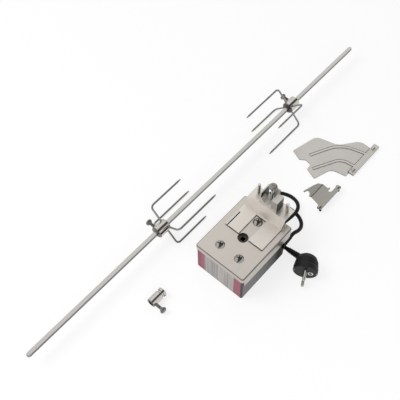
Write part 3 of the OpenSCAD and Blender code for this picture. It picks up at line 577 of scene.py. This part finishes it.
# Motor face: one sheet with a rolled edge, folded down round the can, deeper on the long sides
HALF_L, HALF_W, CORNER = 56.5, 44.25, 3.7
ROLL, FOLD, SHEET = 1.8, 9, 1.2
DRIVE_X, DRIVE_HOLE_R = -3, 8.2
LONG_EDGE = 95
bm = bmesh.new()
corners = [bm.verts.new((MOTOR + Vector((HALF_L * x, HALF_W * y, FACE_TOP))) * MM)
           for x, y in ((-1, -1), (1, -1), (1, 1), (-1, 1))]
bm.faces.new(corners)
bmesh.ops.bevel(bm, geom=corners, offset=CORNER * MM, offset_type="OFFSET", segments=6,
                profile=0.5, affect="VERTICES", material=-1)
flat = bm.faces[:]
bmesh.ops.inset_region(bm, faces=flat, thickness=(ROLL + 0.6) * MM, use_even_offset=True,
                       use_boundary=True)
outer = [e for e in bm.edges if e.is_boundary]
inner = [e for f in flat for e in f.edges]
bmesh.ops.delete(bm, geom=flat, context="FACES_ONLY")
drive = Matrix.Translation((MOTOR + Vector((DRIVE_X, 0, FACE_TOP))) * MM)
bmesh.ops.create_circle(bm, segments=48, radius=DRIVE_HOLE_R * MM, matrix=drive)
inner += [e for e in bm.edges if e.is_wire]
bmesh.ops.triangle_fill(bm, edges=inner, use_beauty=True)
drawn = bmesh.ops.extrude_edge_only(bm, edges=outer)["geom"]
bmesh.ops.translate(bm, verts=verts_in(drawn), vec=mm(0, 0, -FOLD))
for inset, depth in ((0, 10.5), (4, 2)):
    long_sides = [e for e in edges_in(drawn) if e.calc_length() > LONG_EDGE * MM]
    drawn = bmesh.ops.extrude_edge_only(bm, edges=long_sides)["geom"]
    for end in (-1, 1):
        lower = [v for v in verts_in(drawn) if (v.co.x - MOTOR.x * MM) * end > 0]
        bmesh.ops.translate(bm, verts=lower, vec=mm(-end * inset, 0, -depth))
bmesh.ops.bevel(bm, geom=outer, offset=ROLL * MM, offset_type="OFFSET", segments=6, profile=0.5,
                affect="EDGES", material=-1)
bm.edges.index_update()
open_edges = [e.index for e in bm.edges if e.is_boundary]
motor_face = piece(bm, "motor_face", "face", "kit", "face_plate")
for i in open_edges:
    motor_face.data.edges[i].use_edge_sharp = True
sheet = motor_face.modifiers.new("sheet", "SOLIDIFY")
sheet.thickness = SHEET * MM
sheet.offset = -1

# Painted shade: black crosses laid in the face screws' cross recesses
ARM, HALF = 3.55, 0.85
CROSS = [(ARM, -HALF), (ARM, HALF), (HALF, HALF), (HALF, ARM), (-HALF, ARM), (-HALF, HALF),
         (-ARM, HALF), (-ARM, -HALF), (-HALF, -HALF), (-HALF, -ARM), (HALF, -ARM), (HALF, -HALF)]
bm = bmesh.new()
for x, y in ((-33, 17.5), (-33, -17.5), (31, 0)):
    part = bmesh.new()
    base = part.faces.new([part.verts.new(mm(u, v, 0)) for u, v in CROSS])
    rim = pull(part, base, mm(0, 0, 0.5))
    bmesh.ops.scale(part, verts=rim.verts, vec=(0.9, 0.9, 1))
    at = Matrix.Translation((MOTOR + Vector((x, y, FACE_TOP + 2.25))) * MM)
    join(bm, part, at @ Matrix.Rotation(math.radians(20), 4, "Z"))
piece(bm, "screw_recess_shade", "black", "kit", slot="black_oxide")

# Ridges on sheets, as sections of [sideways, up] points
RIB = [(-2.5, 1.49), (-1.95, 2.34), (-1, 2.44), (0, 2.47), (1, 2.44), (1.85, 2.34), (3.3, 1.49)]
SHADOW_STRIP = [(-1, -0.01), (-0.4, 0.22), (0, 0.25), (0.4, 0.22), (1, -0.01)]
HEM = [(-1.3, -0.01), (-1, 0.3), (-0.4, 0.4), (0.4, 0.4), (1, 0.3), (1.3, -0.01)]


def section(bm, shape, start, ahead):
    """Upright face across a line's start."""
    side = Vector((-ahead.y, ahead.x, 0)).normalized()
    return bm.faces.new([bm.verts.new((start + side * w + Vector((0, 0, h))) * MM)
                         for w, h in shape])


def ridge(bm, shape, start, ahead):
    """Straight ridge of one section."""
    start, ahead = Vector(start), Vector(ahead)
    pull(bm, section(bm, shape, start, ahead), ahead * MM)


def bent_ridge(bm, shape, a, p, b, r):
    """Ridge on the support plate from a to b, rounded at p."""
    a, p, b = (PLATE + Vector((*q, 0)) for q in (a, p, b))
    u, v = (a - p).normalized(), (b - p).normalized()
    half_angle = u.angle(v) / 2
    centre = p + (u + v).normalized() * r / math.sin(half_angle)
    reach = r / math.tan(half_angle)
    sweep = (p + u * reach - centre).xy.angle_signed((p + v * reach - centre).xy)
    end = pull(bm, section(bm, shape, a, p - a), (p + u * reach - a) * MM)
    turned = bmesh.ops.spin(bm, geom=[end, *end.edges, *end.verts], cent=centre * MM,
                            axis=(0, 0, 1), angle=-sweep, steps=14)["geom_last"]
    pull(bm, face_in(turned), (b - p - v * reach) * MM)


# Pressed ribs of the support plate, with sloping sides
bm = bmesh.new()
bent_ridge(bm, RIB, (-4, 69), (47.9, 43.5), (58.5, 1.5), 52)
bent_ridge(bm, RIB, (-23, 49), (23.1, 24.8), (25.5, 1.5), 22)
piece(bm, "plate_ribs", "rib", "kit", slot="brushed_sheet")

# Painted shadow lines, as thin near-black ridges: on the plate along its clamp bar, on the small
# bracket along its bend, and on the holder's far leg beside its hem
LEG = MOTOR + Vector((-1.6, 34, 63))
LEG_AHEAD = (28.6, 0, 0)
bm = bmesh.new()
ridge(bm, SHADOW_STRIP, PLATE + Vector((8.5, 1.6, 1.5)), (65, 0, 0))
ridge(bm, SHADOW_STRIP, (93.6, -64, 1.5), (31.5, 0, 0))
ridge(bm, SHADOW_STRIP, LEG - Vector((0, 3.5, 0)), LEG_AHEAD)
piece(bm, "painted_shadow_lines", "shadow_line", "kit", slot="brushed_sheet")
bm = bmesh.new()
ridge(bm, HEM, LEG - Vector((0, 1.7, 0)), LEG_AHEAD)
piece(bm, "leg_hem", "trough", "kit", slot="brushed_sheet")

# Floor in metres, with a rim that rises past the horizon
bm = bmesh.new()
bmesh.ops.create_circle(bm, cap_ends=True, radius=14, segments=128)
rim = [e for e in bm.edges if e.is_boundary]
for grow, rise in ((1.02, 0.15), (1.01, 0.3), (1, 0.75)):
    drawn = bmesh.ops.extrude_edge_only(bm, edges=rim)["geom"]
    rim = [e for e in edges_in(drawn) if e.is_boundary]
    bmesh.ops.scale(bm, verts=verts_in(drawn), vec=(grow, grow, 1))
    bmesh.ops.translate(bm, verts=verts_in(drawn), vec=(0, 0, rise))
floor_mesh = bpy.data.meshes.new("floor")
bm.to_mesh(floor_mesh)
bm.free()
floor = put("floor", floor_mesh)
floor.location = (0, 0, -0.0002)

# Paper that takes light and shadow, and that glows white to the camera and in reflections
GLOW_SHARE = 0.78
pale = bpy.data.materials.new("floor_pale")
pale.use_nodes = True
paper = Graph(pale.node_tree)
paper.tree.nodes.remove(paper.tree.nodes["Principled BSDF"])
diffuse = paper.add("ShaderNodeBsdfDiffuse")
diffuse.inputs["Color"].default_value = (0.9, 0.9, 0.895, 1)
glow = paper.add("ShaderNodeEmission")
ray = paper.add("ShaderNodeLightPath").outputs
seen = paper.math("MAXIMUM", ray["Is Camera Ray"], ray["Is Glossy Ray"])
seen = paper.math("MAXIMUM", seen, ray["Is Transmission Ray"])
both = paper.add("ShaderNodeMixShader")
paper.link(paper.math("MULTIPLY", seen, GLOW_SHARE), both.inputs["Fac"])
paper.link(diffuse.outputs[0], both.inputs[1])
paper.link(glow.outputs[0], both.inputs[2])
paper.link(both.outputs[0], paper.tree.nodes["Material Output"].inputs["Surface"])
floor_mesh.materials.append(pale)

# Studio surroundings by their lean from upright in degrees, negative to the rear: a wide bright
# screen behind, a gap overhead and a lower screen in front
SCREENS = ((-180, 0.05), (-90, 0.05), (-80, 0.5), (-70, 1), (-10, 1), (0, 0.3), (8, 0.08),
           (30, 0.08), (42, 0.4), (52, 0.95), (82, 0.95), (90, 0.05), (180, 0.05))
world = bpy.data.worlds.new("studio")
world.use_nodes = True
scene.world = world
studio = Graph(world.node_tree)
direction = studio.add("ShaderNodeTexCoord").outputs["Generated"]
lean = studio.math("ARCTAN2", studio.part(direction, "Y"), studio.part(direction, "Z"))
stops = [((angle + 180) / 360, (v, v, v * 0.99)) for angle, v in SCREENS]
screens = studio.ramp(studio.span(lean, 0, 1, math.pi, -math.pi), *stops)
background = studio.tree.nodes["Background"]
studio.link(screens, background.inputs["Color"])
background.inputs["Strength"].default_value = 1.0


def softbox(name, place, target, size, watts):
    """A round lamp, in metres, that doesn't show in reflections."""
    data = bpy.data.lights.new(name, "AREA")
    data.shape = "DISK"
    data.size = size
    data.energy = watts
    obj = put(name, data)
    obj.location = place
    obj.rotation_euler = (Vector(target) - Vector(place)).to_track_quat("-Z", "Y").to_euler()
    obj.visible_glossy = False


softbox("key", (-0.9, 0.9, 1.7), (0, 0, 0), size=1.1, watts=18)
softbox("fill", (-1.2, -0.9, 1.2), (-0.05, -0.05, 0), size=0.9, watts=8)
